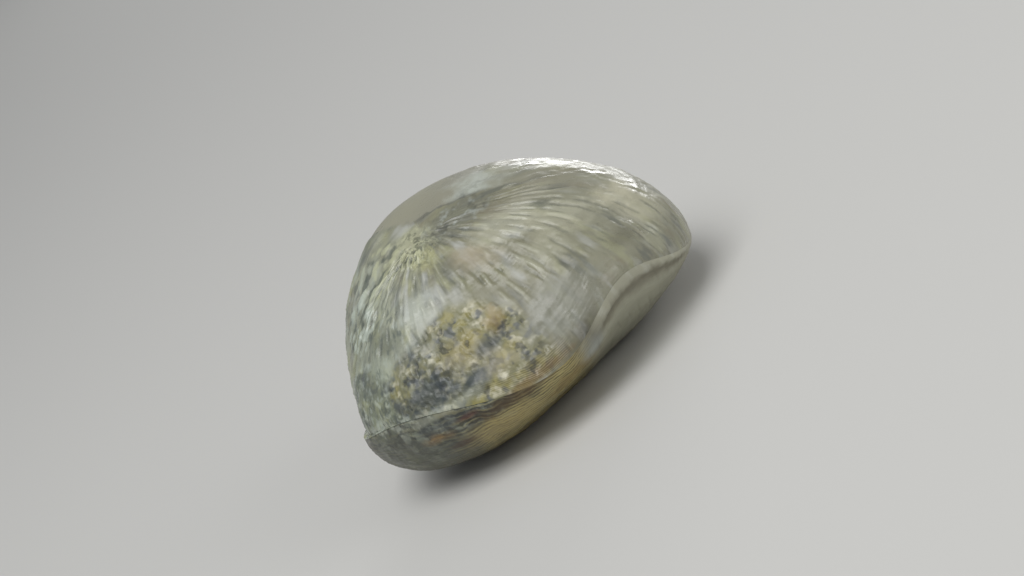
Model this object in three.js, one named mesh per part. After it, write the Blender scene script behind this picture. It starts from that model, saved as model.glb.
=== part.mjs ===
// A fossil brachiopod, Atrypa oklahomensis: the two valves of one small shell, still closed.
// Millimetres, +Z up. The beaks point to +Y, the front margin to -Y.
// The strongly domed brachial valve is on top and the shallow pedicle valve lies underneath.
// Each valve is a grid of rays that run from near its beak to the shared margin, so the ribs follow
// the rays and the growth steps follow the rows, as they do in the real shell.

import * as THREE from "three";

// Outline of the shell seen from above, as two half superellipses with a few low bulges
const shellWidth = 22;
const frontReach = 10.0;
const backReach = 8.8;
const frontRoundness = 2.09;
const backRoundness = 2.4;
const outlineBulges = [
  { at: -45, spread: 30, share: 0.024 },
  { at: -84, spread: 20, share: 0.052 },
  { at: 78, spread: 28, share: 0.014 },
];

// Brachial valve, heights above the level of the hinge
const domeHeight = 10.0;
const domeTop = { x: -1.5, y: 3.7 };
const domeRibLine = { behind: { x: -0.5, y: 6.4 }, front: { x: -1.4, y: -0.6 } };
const domeFront = { inner: 1.68, outer: 1.39 };
const domeBack = { inner: 2.25, outer: 2.29 };
const domeFullSide = { at: 78, spread: 30, outer: 0.22 };
const domeCheek = { at: 58, spread: 18, reach: 1.0 };
const umboOverhang = 0.9;
const umboHalfWidth = 4.2;
const sideLip = { at: -72, spread: 16, narrowing: 0.07, thickness: 0.5, starts: 0.7, whole: 0.92 };

// Pedicle valve
const bowlDepth = 3.5;
const bowlRibLine = { behind: { x: -0.3, y: 7.4 }, front: { x: -0.3, y: 7.0 } };
const bowlShape = { inner: 2.48, outer: 1.46 };
const bowlFullSide = { at: -52, spread: 50, inner: 2.08, outer: 0.89 };
const bowlCheek = { at: -75, spread: 26, reach: 0.4, starts: 0.5, whole: 0.9 };
const bowlSulcus = { at: 2, spread: 37, share: 0.32, starts: 0.2, whole: 0.8 };
const bowlTaper = 0.09;
const footDepth = 3.24;
const beakReach = 1.0;
const beakRise = 1.0;
const beakHalfWidth = 1.5;
const beakStarts = 0.84;

// The line along which the valves meet is not level: it rises in a fold to the right of the
// middle, rises again at the left shoulder, and leans down a little to the right.
const foldRise = { at: 33, spread: 23, height: 2.4 };
const shoulderRise = { at: -52, spread: 34, height: 2.0 };
const marginLean = 0.9;
const riseLimit = 1.2;
const valveGap = 0.3;

// The ribs of a valve start from a short line that runs forward from its beak. Those that end at
// the back of the margin start from the line's hind end, and those of the front from its front end.
// A rib sets off sideways and then bends towards the margin, because it is ahead of its share of
// the way across and behind its share of the way forward.
const ribLineEnds = { behind: 7.5, front: -3.0 };
const ribBend = { across: 0.5, forward: -0.35 };

// Surface relief
const ribsAtMargin = 72;
const ribHeight = 0.1;
const ribsStart = 0.12;
const ribsFull = 0.4;
const growthSteps = [
  { at: 0.585, height: 0.04 },
  { at: 0.8, height: 0.06 },
  { at: 0.905, height: 0.05 },
];
const growthStepRun = 0.13;
const domeHollows = [
  { x: 9.0, y: -5.3, radius: 0.95, depth: 0.32 },
  { x: -1.5, y: -8.2, radius: 0.75, depth: 0.22 },
  { x: -6.9, y: -7.4, radius: 0.8, depth: 0.22 },
  { x: 0.6, y: -8.6, radius: 0.7, depth: 0.18 },
];

// Rows of the grids, as shares of the way from a rib line to the margin. The number of columns
// doubles twice on the way out, where the ribs of the real shell divide.
const columnsAtMargin = 2 * ribsAtMargin;
const domeRows = [
  { columns: columnsAtMargin / 4, shares: [0.04, 0.08, 0.12, 0.17] },
  { columns: columnsAtMargin / 2, shares: [0.24, 0.31, 0.38, 0.45] },
  {
    columns: columnsAtMargin,
    shares: [0.52, 0.575, 0.595, 0.66, 0.73, 0.79, 0.81, 0.855, 0.895, 0.915, 0.95, 0.975, 0.99, 1],
  },
];
const bowlRows = [
  { columns: columnsAtMargin / 4, shares: [0.04, 0.08, 0.13, 0.2] },
  { columns: columnsAtMargin / 2, shares: [0.32, 0.44] },
  { columns: columnsAtMargin, shares: [0.57, 0.67, 0.77, 0.8, 0.86, 0.91, 0.955, 0.985, 1] },
];

// The inner face has one ring of points between the margin and its middle
const innerRingShare = 0.96;

const radians = (degrees) => (degrees * Math.PI) / 180;
const fullTurn = 2 * Math.PI;

function smoothstep(from, to, value) {
  const share = Math.min(Math.max((value - from) / (to - from), 0), 1);
  return share * share * (3 - 2 * share);
}

function bell(angle, feature) {
  let away = (angle - radians(feature.at) + 5 * Math.PI) % fullTurn;
  away -= Math.PI;
  return Math.exp(-((away / radians(feature.spread)) ** 2));
}

// Angles are measured in plan from the front, and grow towards +X
function outlineAt(angle) {
  const side = Math.sin(angle);
  const front = Math.cos(angle);
  const reach = front > 0 ? frontReach : backReach;
  const power = 2 / (front > 0 ? frontRoundness : backRoundness);
  let scale = 1;
  for (const bulge of outlineBulges) {
    scale += bulge.share * bell(angle, bulge);
  }
  return {
    x: (scale * Math.sign(side) * shellWidth * Math.abs(side) ** power) / 2,
    y: -scale * Math.sign(front) * reach * Math.abs(front) ** power,
  };
}

const outlineSteps = 1440;
const outline = [];
for (let i = 0; i <= outlineSteps; i += 1) {
  outline.push(outlineAt(-Math.PI + (fullTurn * i) / outlineSteps));
}

// Distance from a plan point inside the outline to the outline, by direction
function makeReach(from) {
  const table = outline.map((point) => ({
    angle: Math.atan2(point.x - from.x, from.y - point.y),
    distance: Math.hypot(point.x - from.x, point.y - from.y),
  }));
  table.sort((a, b) => a.angle - b.angle);
  const first = table[0];
  const last = table[table.length - 1];
  table.unshift({ angle: last.angle - fullTurn, distance: last.distance });
  table.push({ angle: first.angle + fullTurn, distance: first.distance });
  return (angle) => {
    let low = 0;
    let high = table.length - 1;
    while (high - low > 1) {
      const middle = (low + high) >> 1;
      if (table[middle].angle <= angle) {
        low = middle;
      } else {
        high = middle;
      }
    }
    const span = Math.max(table[high].angle - table[low].angle, 1e-9);
    const share = (angle - table[low].angle) / span;
    return table[low].distance * (1 - share) + table[high].distance * share;
  };
}

const centre = { x: 0, y: 0 };
const reachFromCentre = makeReach(centre);
const reachFromTop = makeReach(domeTop);

function polar(x, y, from) {
  return { angle: Math.atan2(x - from.x, from.y - y), distance: Math.hypot(x - from.x, y - from.y) };
}

// Height of the surface between the valves: a low cone from the centre out to the margin line
function meetingHeight(x, y) {
  const { angle, distance } = polar(x, y, centre);
  const rise = foldRise.height * bell(angle, foldRise)
    + shoulderRise.height * bell(angle, shoulderRise)
    - marginLean * Math.sin(angle);
  return rise * Math.min(distance / reachFromCentre(angle), riseLimit);
}

function domePoint(x, y) {
  const { angle, distance } = polar(x, y, domeTop);
  const out = Math.min(distance / reachFromTop(angle), 1);
  const behind = (1 - Math.cos(angle)) / 2;
  const inner = THREE.MathUtils.lerp(domeFront.inner, domeBack.inner, behind);
  const outer = THREE.MathUtils.lerp(domeFront.outer, domeBack.outer, behind)
    + domeFullSide.outer * bell(angle, domeFullSide);
  const lip = bell(angle, sideLip);
  const drawnIn = Math.min(out * (1 + sideLip.narrowing * lip), 1);
  const base = meetingHeight(x, y);
  const lipShare = smoothstep(sideLip.starts, sideLip.whole, out) * Math.sqrt(1 - out * out);
  const lipHeight = sideLip.thickness * lip * lipShare;
  const z = base + valveGap / 2 + (domeHeight - base) * (1 - drawnIn ** inner) ** (1 / outer) + lipHeight;
  const climb = Math.min(Math.max((z - base) / (domeHeight - base), 0), 1);
  const backward = smoothstep(domeTop.y, backReach, y) * Math.exp(-((x / umboHalfWidth) ** 2));
  const cheek = domeCheek.reach * bell(angle, domeCheek) * 4 * climb * (1 - climb);
  const overhang = umboOverhang * backward * 4 * climb * (1 - climb);
  return new THREE.Vector3(x + cheek * Math.sin(angle), y - cheek * Math.cos(angle) + overhang, z);
}

function bowlPoint(x, y) {
  const { angle, distance } = polar(x, y, centre);
  const out = Math.min(distance / reachFromCentre(angle), 1);
  const full = bell(angle, bowlFullSide);
  const inner = bowlShape.inner + bowlFullSide.inner * full;
  const outer = bowlShape.outer + bowlFullSide.outer * full;
  const base = meetingHeight(x, y);
  const sulcus = bell(angle, bowlSulcus) * smoothstep(bowlSulcus.starts, bowlSulcus.whole, out);
  const whole = (1 - out ** inner) ** (1 / outer) * (1 - bowlTaper * out);
  const down = whole * (1 - bowlSulcus.share * sulcus);
  const cheekShare = bell(angle, bowlCheek) * smoothstep(bowlCheek.starts, bowlCheek.whole, out);
  const cheek = bowlCheek.reach * cheekShare * 4 * down * (1 - down);
  const beak = Math.exp(-((x / beakHalfWidth) ** 2)) * smoothstep(beakStarts, 1, out) * (y > 0 ? 1 : 0);
  return new THREE.Vector3(
    x + cheek * Math.sin(angle),
    y - cheek * Math.cos(angle) + beakReach * beak,
    base - valveGap / 2 - (bowlDepth + base) * down + beakRise * beak ** 2,
  );
}

// Points at equal steps along the outline, starting behind and going round by -X to the front
function evenOutline(count) {
  const lengths = [0];
  for (let i = 1; i < outline.length; i += 1) {
    const step = Math.hypot(outline[i].x - outline[i - 1].x, outline[i].y - outline[i - 1].y);
    lengths.push(lengths[i - 1] + step);
  }
  const points = [];
  let at = 0;
  for (let i = 0; i < count; i += 1) {
    const wanted = (lengths[lengths.length - 1] * i) / count;
    while (lengths[at + 1] < wanted) {
      at += 1;
    }
    const share = (wanted - lengths[at]) / (lengths[at + 1] - lengths[at]);
    points.push({
      x: THREE.MathUtils.lerp(outline[at].x, outline[at + 1].x, share),
      y: THREE.MathUtils.lerp(outline[at].y, outline[at + 1].y, share),
    });
  }
  return points;
}

const marginPoints = evenOutline(columnsAtMargin);

function planPoint(ribLine, column, share) {
  const end = marginPoints[column];
  const forward = smoothstep(ribLineEnds.behind, ribLineEnds.front, end.y);
  const startX = THREE.MathUtils.lerp(ribLine.behind.x, ribLine.front.x, forward);
  const startY = THREE.MathUtils.lerp(ribLine.behind.y, ribLine.front.y, forward);
  return {
    x: THREE.MathUtils.lerp(startX, end.x, share * (1 + ribBend.across * (1 - share))),
    y: THREE.MathUtils.lerp(startY, end.y, share * (1 + ribBend.forward * (1 - share))),
  };
}

// Ribs and growth steps, as a height along the surface normal. The column is counted in margin
// columns, so a crest sits on every other one, and on every fourth one nearer the beak.
function relief(column, share, ringColumns) {
  const spacing = (2 * columnsAtMargin) / ringColumns;
  const crest = column % spacing === 0 ? 1 : -1;
  const grown = smoothstep(ribsStart, ribsFull, share);
  let height = ribHeight * crest * grown;
  for (const step of growthSteps) {
    const before = (step.at - share) / growthStepRun;
    if (before > 0 && before < 1) {
      height += step.height * (1 - before);
    }
  }
  return height;
}

function hollowDepth(hollows, x, y) {
  let depth = 0;
  for (const hollow of hollows) {
    const away = Math.hypot(x - hollow.x, y - hollow.y) / hollow.radius;
    depth += hollow.depth * Math.exp(-(away ** 2));
  }
  return depth;
}

// Half the distance over which the slope of a surface is measured
const nudge = 0.02;

// One point of a valve's outer face. On the last row the relief goes sideways only, so that
// the margin stays on the meeting surface.
function reliefPoint(valve, column, share, ringColumns) {
  const plan = planPoint(valve.ribLine, column, share);
  const height = relief(column, share, ringColumns) - hollowDepth(valve.hollows, plan.x, plan.y);
  if (share === 1) {
    const out = new THREE.Vector2(plan.x, plan.y).normalize();
    const point = valve.surface(plan.x, plan.y);
    point.x += out.x * height;
    point.y += out.y * height;
    return point;
  }
  const here = valve.surface(plan.x, plan.y);
  const right = valve.surface(plan.x + nudge, plan.y).sub(valve.surface(plan.x - nudge, plan.y));
  const behind = valve.surface(plan.x, plan.y + nudge).sub(valve.surface(plan.x, plan.y - nudge));
  const normal = right.cross(behind).normalize().multiplyScalar(valve.side);
  return here.addScaledVector(normal, height);
}

// The outer face, from the rib line out, then the inner face, back from the margin to its middle
function buildValve(valve) {
  const vertices = [];
  const triangles = [];
  const addVertex = (point) => {
    vertices.push(point.x, point.y, Math.max(point.z, valve.lowest));
    return vertices.length / 3 - 1;
  };
  const addTriangle = (a, b, c) => {
    if (valve.side > 0) {
      triangles.push(a, c, b);
    } else {
      triangles.push(a, b, c);
    }
  };
  const joinRings = (inner, outer) => {
    const split = outer.length / inner.length;
    for (let i = 0; i < inner.length; i += 1) {
      const next = (i + 1) % inner.length;
      const start = i * split;
      if (split === 2) {
        addTriangle(inner[i], outer[start + 1], outer[start]);
        addTriangle(inner[i], inner[next], outer[start + 1]);
        addTriangle(inner[next], outer[(start + 2) % outer.length], outer[start + 1]);
      } else {
        addTriangle(inner[i], outer[next], outer[i]);
        addTriangle(inner[i], inner[next], outer[next]);
      }
    }
  };

  // The first ring is a narrow loop round the rib line, closed by a strip straight across it
  const closeLoop = (loop) => {
    for (let i = 0; i < loop.length / 2; i += 1) {
      const left = loop[i];
      const nextLeft = loop[i + 1];
      const right = loop[(loop.length - i) % loop.length];
      const nextRight = loop[loop.length - i - 1];
      if (left !== right) {
        addTriangle(nextLeft, left, right);
      }
      if (nextLeft !== nextRight) {
        addTriangle(nextLeft, right, nextRight);
      }
    }
  };

  let ring = null;
  for (const band of valve.rows) {
    for (const share of band.shares) {
      const next = [];
      const stride = columnsAtMargin / band.columns;
      for (let i = 0; i < band.columns; i += 1) {
        next.push(addVertex(reliefPoint(valve, i * stride, share, band.columns)));
      }
      if (ring) {
        joinRings(ring, next);
      } else {
        closeLoop(next);
      }
      ring = next;
    }
  }

  const addMeetingVertex = (x, y) => {
    const halfGap = (valve.side * valveGap) / 2;
    return addVertex(new THREE.Vector3(x, y, meetingHeight(x, y) + halfGap));
  };
  const innerRing = marginPoints.map((end) => {
    return addMeetingVertex(end.x * innerRingShare, end.y * innerRingShare);
  });
  joinRings(ring, innerRing);
  const middle = addMeetingVertex(0, 0);
  for (let i = 0; i < innerRing.length; i += 1) {
    addTriangle(middle, innerRing[i], innerRing[(i + 1) % innerRing.length]);
  }

  const geometry = new THREE.BufferGeometry();
  geometry.setAttribute("position", new THREE.Float32BufferAttribute(vertices, 3));
  geometry.setIndex(triangles);
  geometry.computeVertexNormals();
  return geometry;
}

const brachialValve = {
  surface: domePoint,
  ribLine: domeRibLine,
  rows: domeRows,
  hollows: domeHollows,
  side: 1,
  lowest: -Infinity,
};

const pedicleValve = {
  surface: bowlPoint,
  ribLine: bowlRibLine,
  rows: bowlRows,
  hollows: [],
  side: -1,
  lowest: -footDepth,
};

const stone = { roughness: 0.55, metalness: 0 };
const brachialMesh = new THREE.Mesh(
  buildValve(brachialValve),
  new THREE.MeshStandardMaterial({ color: 0x8f9079, ...stone }),
);
brachialMesh.name = "brachial_valve";

const pedicleMesh = new THREE.Mesh(
  buildValve(pedicleValve),
  new THREE.MeshStandardMaterial({ color: 0x7f7e64, ...stone }),
);
pedicleMesh.name = "pedicle_valve";

// The origin is under the middle of the shell, on the surface that it rests on
const shell = new THREE.Group();
shell.add(brachialMesh, pedicleMesh);
const box = new THREE.Box3().setFromObject(shell);
const boxCentre = box.getCenter(new THREE.Vector3());
shell.position.set(-boxCentre.x, -boxCentre.y, -box.min.z);

export default shell;
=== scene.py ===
# %% [markdown]
# # A closed fossil shell
# This lesson dresses the imported model of a small fossil brachiopod, Atrypa oklahomensis. The real
# thing is two valves of grey-green stone that never opened again: a high dome above, a shallow bowl
# below. The imported model gives the size, the place and the coarse ribs. The lesson makes each valve
# again with a finer surface, lets Geometry Nodes raise the ribs, and paints the stone with nodes.
# Loading the imported model comes first, because every piece is placed by it.

import bpy
import numpy as np
from mathutils import Matrix, Vector


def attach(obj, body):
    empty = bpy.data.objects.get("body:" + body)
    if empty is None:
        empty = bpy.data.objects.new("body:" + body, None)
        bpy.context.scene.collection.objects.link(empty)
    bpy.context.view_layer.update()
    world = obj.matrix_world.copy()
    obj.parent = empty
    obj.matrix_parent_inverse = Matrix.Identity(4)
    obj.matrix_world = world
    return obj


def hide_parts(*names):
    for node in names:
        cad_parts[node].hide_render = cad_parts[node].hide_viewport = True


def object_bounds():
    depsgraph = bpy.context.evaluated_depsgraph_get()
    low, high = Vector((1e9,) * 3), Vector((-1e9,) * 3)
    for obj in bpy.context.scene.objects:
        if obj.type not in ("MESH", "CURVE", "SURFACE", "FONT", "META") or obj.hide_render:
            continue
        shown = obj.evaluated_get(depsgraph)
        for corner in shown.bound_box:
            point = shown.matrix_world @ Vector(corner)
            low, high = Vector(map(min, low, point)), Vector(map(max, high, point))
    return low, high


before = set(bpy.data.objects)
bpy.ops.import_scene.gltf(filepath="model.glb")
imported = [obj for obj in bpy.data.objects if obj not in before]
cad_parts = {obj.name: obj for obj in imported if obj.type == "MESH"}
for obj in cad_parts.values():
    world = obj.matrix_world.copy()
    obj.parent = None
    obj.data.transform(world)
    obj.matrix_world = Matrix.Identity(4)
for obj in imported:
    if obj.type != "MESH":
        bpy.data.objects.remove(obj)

cad_low, cad_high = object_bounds()
print("packed size in mm", [round((b - a) * 1000, 2) for a, b in zip(cad_low, cad_high)])

# %% [markdown]
# ## The plan outline
# Seen from above, the shell is a rounded shape, a little fuller on one side. It could be drawn as a
# curve by hand. Two half superellipses with three low bulges follow the real outline with a handful
# of numbers, and every point inside it can be found by angle and distance. The numbers are in
# millimetres, and angles are in degrees from the front margin towards +X.

# %% Outline
shell_width = 22.0
front_reach, back_reach = 10.0, 8.8
front_roundness, back_roundness = 2.09, 2.4
outline_bulges = [
    {"at": -45, "spread": 30, "share": 0.024},
    {"at": -84, "spread": 20, "share": 0.052},
    {"at": 78, "spread": 28, "share": 0.014},
]
outline_steps = 1440


def smoothstep(start, end, value):
    share = np.clip((value - start) / (end - start), 0, 1)
    return share * share * (3 - 2 * share)


def bell(angle, feature):
    """1 where a feature has its middle, and less to both sides."""
    away = (angle - np.radians(feature["at"]) + np.pi) % (2 * np.pi) - np.pi
    return np.exp(-((away / np.radians(feature["spread"])) ** 2))


def plan_outline():
    angle = np.linspace(-np.pi, np.pi, outline_steps + 1)
    side, front = np.sin(angle), np.cos(angle)
    reach = np.where(front > 0, front_reach, back_reach)
    power = 2 / np.where(front > 0, front_roundness, back_roundness)
    scale = 1 + sum(bulge["share"] * bell(angle, bulge) for bulge in outline_bulges)
    x = scale * np.sign(side) * shell_width / 2 * np.abs(side) ** power
    y = -scale * np.sign(front) * reach * np.abs(front) ** power
    return x, y


outline_x, outline_y = plan_outline()


def polar(x, y, start):
    return np.arctan2(x - start[0], start[1] - y), np.hypot(x - start[0], y - start[1])


def share_of_reach(x, y, start=(0.0, 0.0)):
    """Angle round a start point, and the distance from it as a share of the way to the outline."""
    angle, distance = polar(x, y, start)
    edge_angle, edge_distance = polar(outline_x, outline_y, start)
    order = np.argsort(edge_angle)
    reach = np.interp(angle, edge_angle[order], edge_distance[order], period=2 * np.pi)
    return angle, distance / reach


print("outline", round(float(np.ptp(outline_x)), 2), "x", round(float(np.ptp(outline_y)), 2), "mm")

# %% [markdown]
# ## The line where the valves meet
# The two valves touch along a wavy line, which rises in a fold at the front. A level cut would be
# simpler, but the wave is one of the marks of this kind of shell. Its height is a low cone of
# bells round the middle, so that both valves can share it.

# %% Meeting line
fold_rise = {"at": 33, "spread": 23, "height": 2.4}
shoulder_rise = {"at": -52, "spread": 34, "height": 2.0}
margin_lean = 0.9
rise_limit = 1.2


def meeting_height(x, y):
    angle, out = share_of_reach(x, y)
    rise = sum(wave["height"] * bell(angle, wave) for wave in (fold_rise, shoulder_rise))
    return (rise - margin_lean * np.sin(angle)) * np.minimum(out, rise_limit)


# %% [markdown]
# ## The dome
# The upper valve swells into a high dome that hangs over behind, with a full cheek on the right and
# a narrow lip on the left. Sculpting would give such a form too. A formula for the height above the
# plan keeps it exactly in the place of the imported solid, and the grid can be as fine as the ribs
# need.

# %% Dome
dome_height = 10.0
dome_top = (-1.5, 3.7)
dome_rib_line = ((-0.5, 6.4), (-1.4, -0.6))  # hind end and front end
dome_front, dome_back = (1.68, 1.39), (2.25, 2.29)  # inner and outer power of the profile
dome_full_side = {"at": 78, "spread": 30, "outer": 0.22}
dome_cheek = {"at": 58, "spread": 18, "reach": 1.0}
umbo_overhang, umbo_half_width = 0.9, 4.2
side_lip = {"at": -72, "spread": 16, "narrowing": 0.07, "thickness": 0.5, "starts": 0.7, "whole": 0.92}


def dome_surface(x, y, half_gap):
    angle, out = share_of_reach(x, y, dome_top)
    out = np.minimum(out, 1)
    behind = (1 - np.cos(angle)) / 2
    inner = dome_front[0] + (dome_back[0] - dome_front[0]) * behind
    outer = dome_front[1] + (dome_back[1] - dome_front[1]) * behind
    outer = outer + dome_full_side["outer"] * bell(angle, dome_full_side)
    lip = bell(angle, side_lip)
    drawn_in = np.minimum(out * (1 + side_lip["narrowing"] * lip), 1)
    base = meeting_height(x, y)
    lip_share = smoothstep(side_lip["starts"], side_lip["whole"], out) * np.sqrt(1 - out * out)
    z = base + half_gap + (dome_height - base) * (1 - drawn_in**inner) ** (1 / outer)
    z = z + side_lip["thickness"] * lip * lip_share
    climb = np.clip((z - base) / (dome_height - base), 0, 1)
    backward = smoothstep(dome_top[1], back_reach, y) * np.exp(-((x / umbo_half_width) ** 2))
    cheek = dome_cheek["reach"] * bell(angle, dome_cheek) * 4 * climb * (1 - climb)
    overhang = umbo_overhang * backward * 4 * climb * (1 - climb)
    return np.stack([x + cheek * np.sin(angle), y - cheek * np.cos(angle) + overhang, z], -1)


# %% [markdown]
# ## The bowl
# The lower valve is a shallow bowl, with a hollow line down its front, a small beak behind and a
# flat spot that it rests on. The dome could be copied and squashed, but the bowl is full in other
# places. So it has a formula of the same kind with numbers of its own, in the place of its solid.

# %% Bowl
bowl_depth = 3.5
bowl_rib_line = ((-0.3, 7.4), (-0.3, 7.0))
bowl_powers = (2.48, 1.46)  # inner and outer
bowl_full_side = {"at": -52, "spread": 50, "inner": 2.08, "outer": 0.89}
bowl_cheek = {"at": -75, "spread": 26, "reach": 0.4, "starts": 0.5, "whole": 0.9}
bowl_sulcus = {"at": 2, "spread": 37, "share": 0.32, "starts": 0.2, "whole": 0.8}
bowl_taper = 0.09
foot_depth = 3.24
beak_reach, beak_rise, beak_half_width, beak_starts = 1.0, 1.0, 1.5, 0.84


def swell(feature, angle, out):
    return bell(angle, feature) * smoothstep(feature["starts"], feature["whole"], out)


def bowl_surface(x, y, half_gap):
    angle, out = share_of_reach(x, y)
    out = np.minimum(out, 1)
    full = bell(angle, bowl_full_side)
    inner = bowl_powers[0] + bowl_full_side["inner"] * full
    outer = bowl_powers[1] + bowl_full_side["outer"] * full
    base = meeting_height(x, y)
    down = (1 - out**inner) ** (1 / outer) * (1 - bowl_taper * out)
    down = down * (1 - bowl_sulcus["share"] * swell(bowl_sulcus, angle, out))
    cheek = bowl_cheek["reach"] * swell(bowl_cheek, angle, out) * 4 * down * (1 - down)
    beak = np.exp(-((x / beak_half_width) ** 2)) * smoothstep(beak_starts, 1, out) * (y > 0)
    z = base - half_gap - (bowl_depth + base) * down + beak_rise * beak**2
    x, y = x + cheek * np.sin(angle), y - cheek * np.cos(angle) + beak_reach * beak
    return np.stack([x, y, np.maximum(z, -foot_depth)], -1)


# %% [markdown]
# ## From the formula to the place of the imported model
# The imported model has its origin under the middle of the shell, and the formulas have theirs at the
# height of the hinge. Moving the finished pieces would do, but a piece is easier to use when its
# own origin is the model's, so the points themselves are shifted.

# %% Shift
shift = np.array([0.2059, 0.1132, foot_depth])
print("shift in mm", shift)

# %% [markdown]
# ## A grid of rays and rows
# Real ribs start from a line that runs forward from the beak. They set off sideways, bend towards
# the margin and fan out, and growth lines cross them. A grid that does the same lets the ribs
# follow its rays and the lines follow its rows. A plain grid would crowd near the line, so the
# number of rays doubles three times on the way out.

# %% Rays and rows
margin_columns = 864
band_ends = [(108, 0.06), (216, 0.14), (432, 0.34), (864, 1.0)]  # columns, share where the band ends
rib_line_ends = (7.5, -3.0)  # margin y whose ribs start from the hind end, and from the front end
rib_bend = (0.5, -0.35)  # how far a rib is ahead of its share of the way across and forward
first_share = 0.005  # of the way out, where the innermost ring lies
row_step = 0.125
probe_rays, probe_steps = 16, 1500  # to measure the way out along the surface


def even_margin():
    """Points at equal steps along the outline, starting behind and going round by -X to the front."""
    lengths = np.r_[0, np.cumsum(np.hypot(np.diff(outline_x), np.diff(outline_y)))]
    wanted = np.arange(margin_columns) / margin_columns * lengths[-1]
    return np.interp(wanted, lengths, outline_x), np.interp(wanted, lengths, outline_y)


margin_x, margin_y = even_margin()


def plan_points(rib_line, share, columns):
    stride = margin_columns // columns
    end_x, end_y = margin_x[::stride], margin_y[::stride]
    forward = smoothstep(*rib_line_ends, end_y)
    start_x, start_y = (behind + (front - behind) * forward for behind, front in zip(*rib_line))
    across, forward = (share * (1 + ahead * (1 - share)) for ahead in rib_bend)
    return start_x + across * (end_x - start_x), start_y + forward * (end_y - start_y)


def surface_rows(surface, rib_line):
    """Shares at equal steps along the surface, and how far along it each one lies, from 0 to 1."""
    fine = np.linspace(first_share, 1, probe_steps)
    paths = np.stack([surface(*plan_points(rib_line, share, probe_rays), 0.0) for share in fine])
    steps = np.linalg.norm(np.diff(paths, axis=0), axis=-1).mean(1)
    along = np.r_[0, np.cumsum(steps)]
    wanted = np.linspace(0, along[-1], int(along[-1] / row_step))
    return np.interp(wanted, along, fine), wanted / along[-1], along[-1]


print("margin", margin_columns, "points, first", round(margin_x[0], 2), round(margin_y[0], 2))

# %% [markdown]
# ## The rings of one valve
# The outer face runs from the rib line to the margin. The inner face, which the closed shell
# hides, runs back along the meeting line, so that each valve is one closed body. A modifier could
# give the valve a thickness, but a filled fossil has no inside. Each point keeps where it is round
# and outwards, and the way in which relief pushes it: along the surface's normal, but level at the
# margin, so that the two valves never cut into each other.

# %% Rings
seam_gap = 0.002
inner_ring_share = 0.96
level_zone = 0.5  # along the surface, where the push turns level
nudge = 0.02


def grid_normals(surface, x, y, half_gap, side):
    right = surface(x + nudge, y, half_gap) - surface(x - nudge, y, half_gap)
    behind = surface(x, y + nudge, half_gap) - surface(x, y - nudge, half_gap)
    normal = np.cross(right, behind)
    return side * normal / np.linalg.norm(normal, axis=-1, keepdims=True)


class Rings:
    """Rings of points, each with its pushes and with its turn, growth and way along the surface."""

    def __init__(self):
        self.points, self.pushes, self.kept, self.numbers = [], [], [], []

    def add(self, points, pushes, share, along):
        turn = np.arange(len(points)) / len(points)
        angle = 2 * np.pi * turn
        self.numbers.append(sum(map(len, self.points)) + np.arange(len(points)))
        self.points.append(points)
        self.pushes.append(pushes)
        kept = [np.cos(angle), np.sin(angle), turn, turn * 0 + share, turn * 0 + along]
        self.kept.append(np.stack(kept, 1))


def valve_rings(surface, rib_line, side):
    rings, half_gap = Rings(), seam_gap / 2
    shares, alongs, path_length = surface_rows(surface, rib_line)
    for share, along in zip(shares, alongs):
        columns = next(count for count, end in band_ends if share <= end)
        x, y = plan_points(rib_line, share, columns)
        level = np.stack([x, y, x * 0], 1)
        level /= np.linalg.norm(level, axis=1, keepdims=True)
        lock = smoothstep(level_zone, 0, (1 - along) * path_length)
        push = grid_normals(surface, x, y, half_gap, side) * (1 - lock) + level * lock
        push /= np.linalg.norm(push, axis=1, keepdims=True)
        rings.add(surface(x, y, half_gap), push, share, along)
    x, y = margin_x * inner_ring_share, margin_y * inner_ring_share
    inner_ring = np.stack([x, y, meeting_height(x, y) + side * half_gap], 1)
    rings.add(inner_ring, np.zeros_like(inner_ring), 1, 1)
    rings.add(np.array([[0, 0, side * half_gap]]), np.zeros((1, 3)), 1, 1)
    return rings


# %% [markdown]
# ## Faces between the rings
# Where two rings have the same number of points, quads join them. Where the number doubles, three
# triangles do. A remesh would close the gaps too, but it would lose the rays that the ribs follow.
# Only the margin stays a sharp edge, and the rest is shaded smooth.

# %% Faces and mesh
sharp_from = 55  # degrees


def join_rings(inner, outer):
    count, split = len(inner), len(outer) // len(inner)
    i = np.arange(count)
    a, b = inner, inner[(i + 1) % count]
    if split == 1:
        c, d = outer, outer[(i + 1) % count]
        return [np.stack([a, c, d, b], 1)]
    c, d, e = outer[2 * i], outer[2 * i + 1], outer[(2 * i + 2) % (2 * count)]
    return [np.stack([a, c, d], 1), np.stack([a, d, b], 1), np.stack([b, d, e], 1)]


def close_loop(loop):
    """A strip of faces straight across a narrow loop."""
    half = len(loop) // 2
    left, right = loop[: half + 1], np.r_[loop[:1], loop[: half - 1 : -1]]
    strip = np.stack([left[1:-2], left[2:-1], right[2:-1], right[1:-2]], 1)
    ends = np.array([[left[0], left[1], right[1]], [left[-2], left[-1], right[-2]]])
    return [strip, ends]


def valve_faces(numbers, side):
    blocks = close_loop(numbers[0])
    for inner, outer in zip(numbers[:-2], numbers[1:-1]):
        blocks += join_rings(inner, outer)
    rim, tip = numbers[-2:]
    blocks.append(np.stack([np.roll(rim, -1), rim, np.full(len(rim), tip[0])], 1))
    if side < 0:
        blocks = [block[:, ::-1] for block in blocks]
    return [face for block in blocks for face in block.tolist()]


def keep_number(mesh, label, values):
    mesh.attributes.new(label, "FLOAT", "POINT").data.foreach_set("value", values.astype(np.float32))


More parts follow.
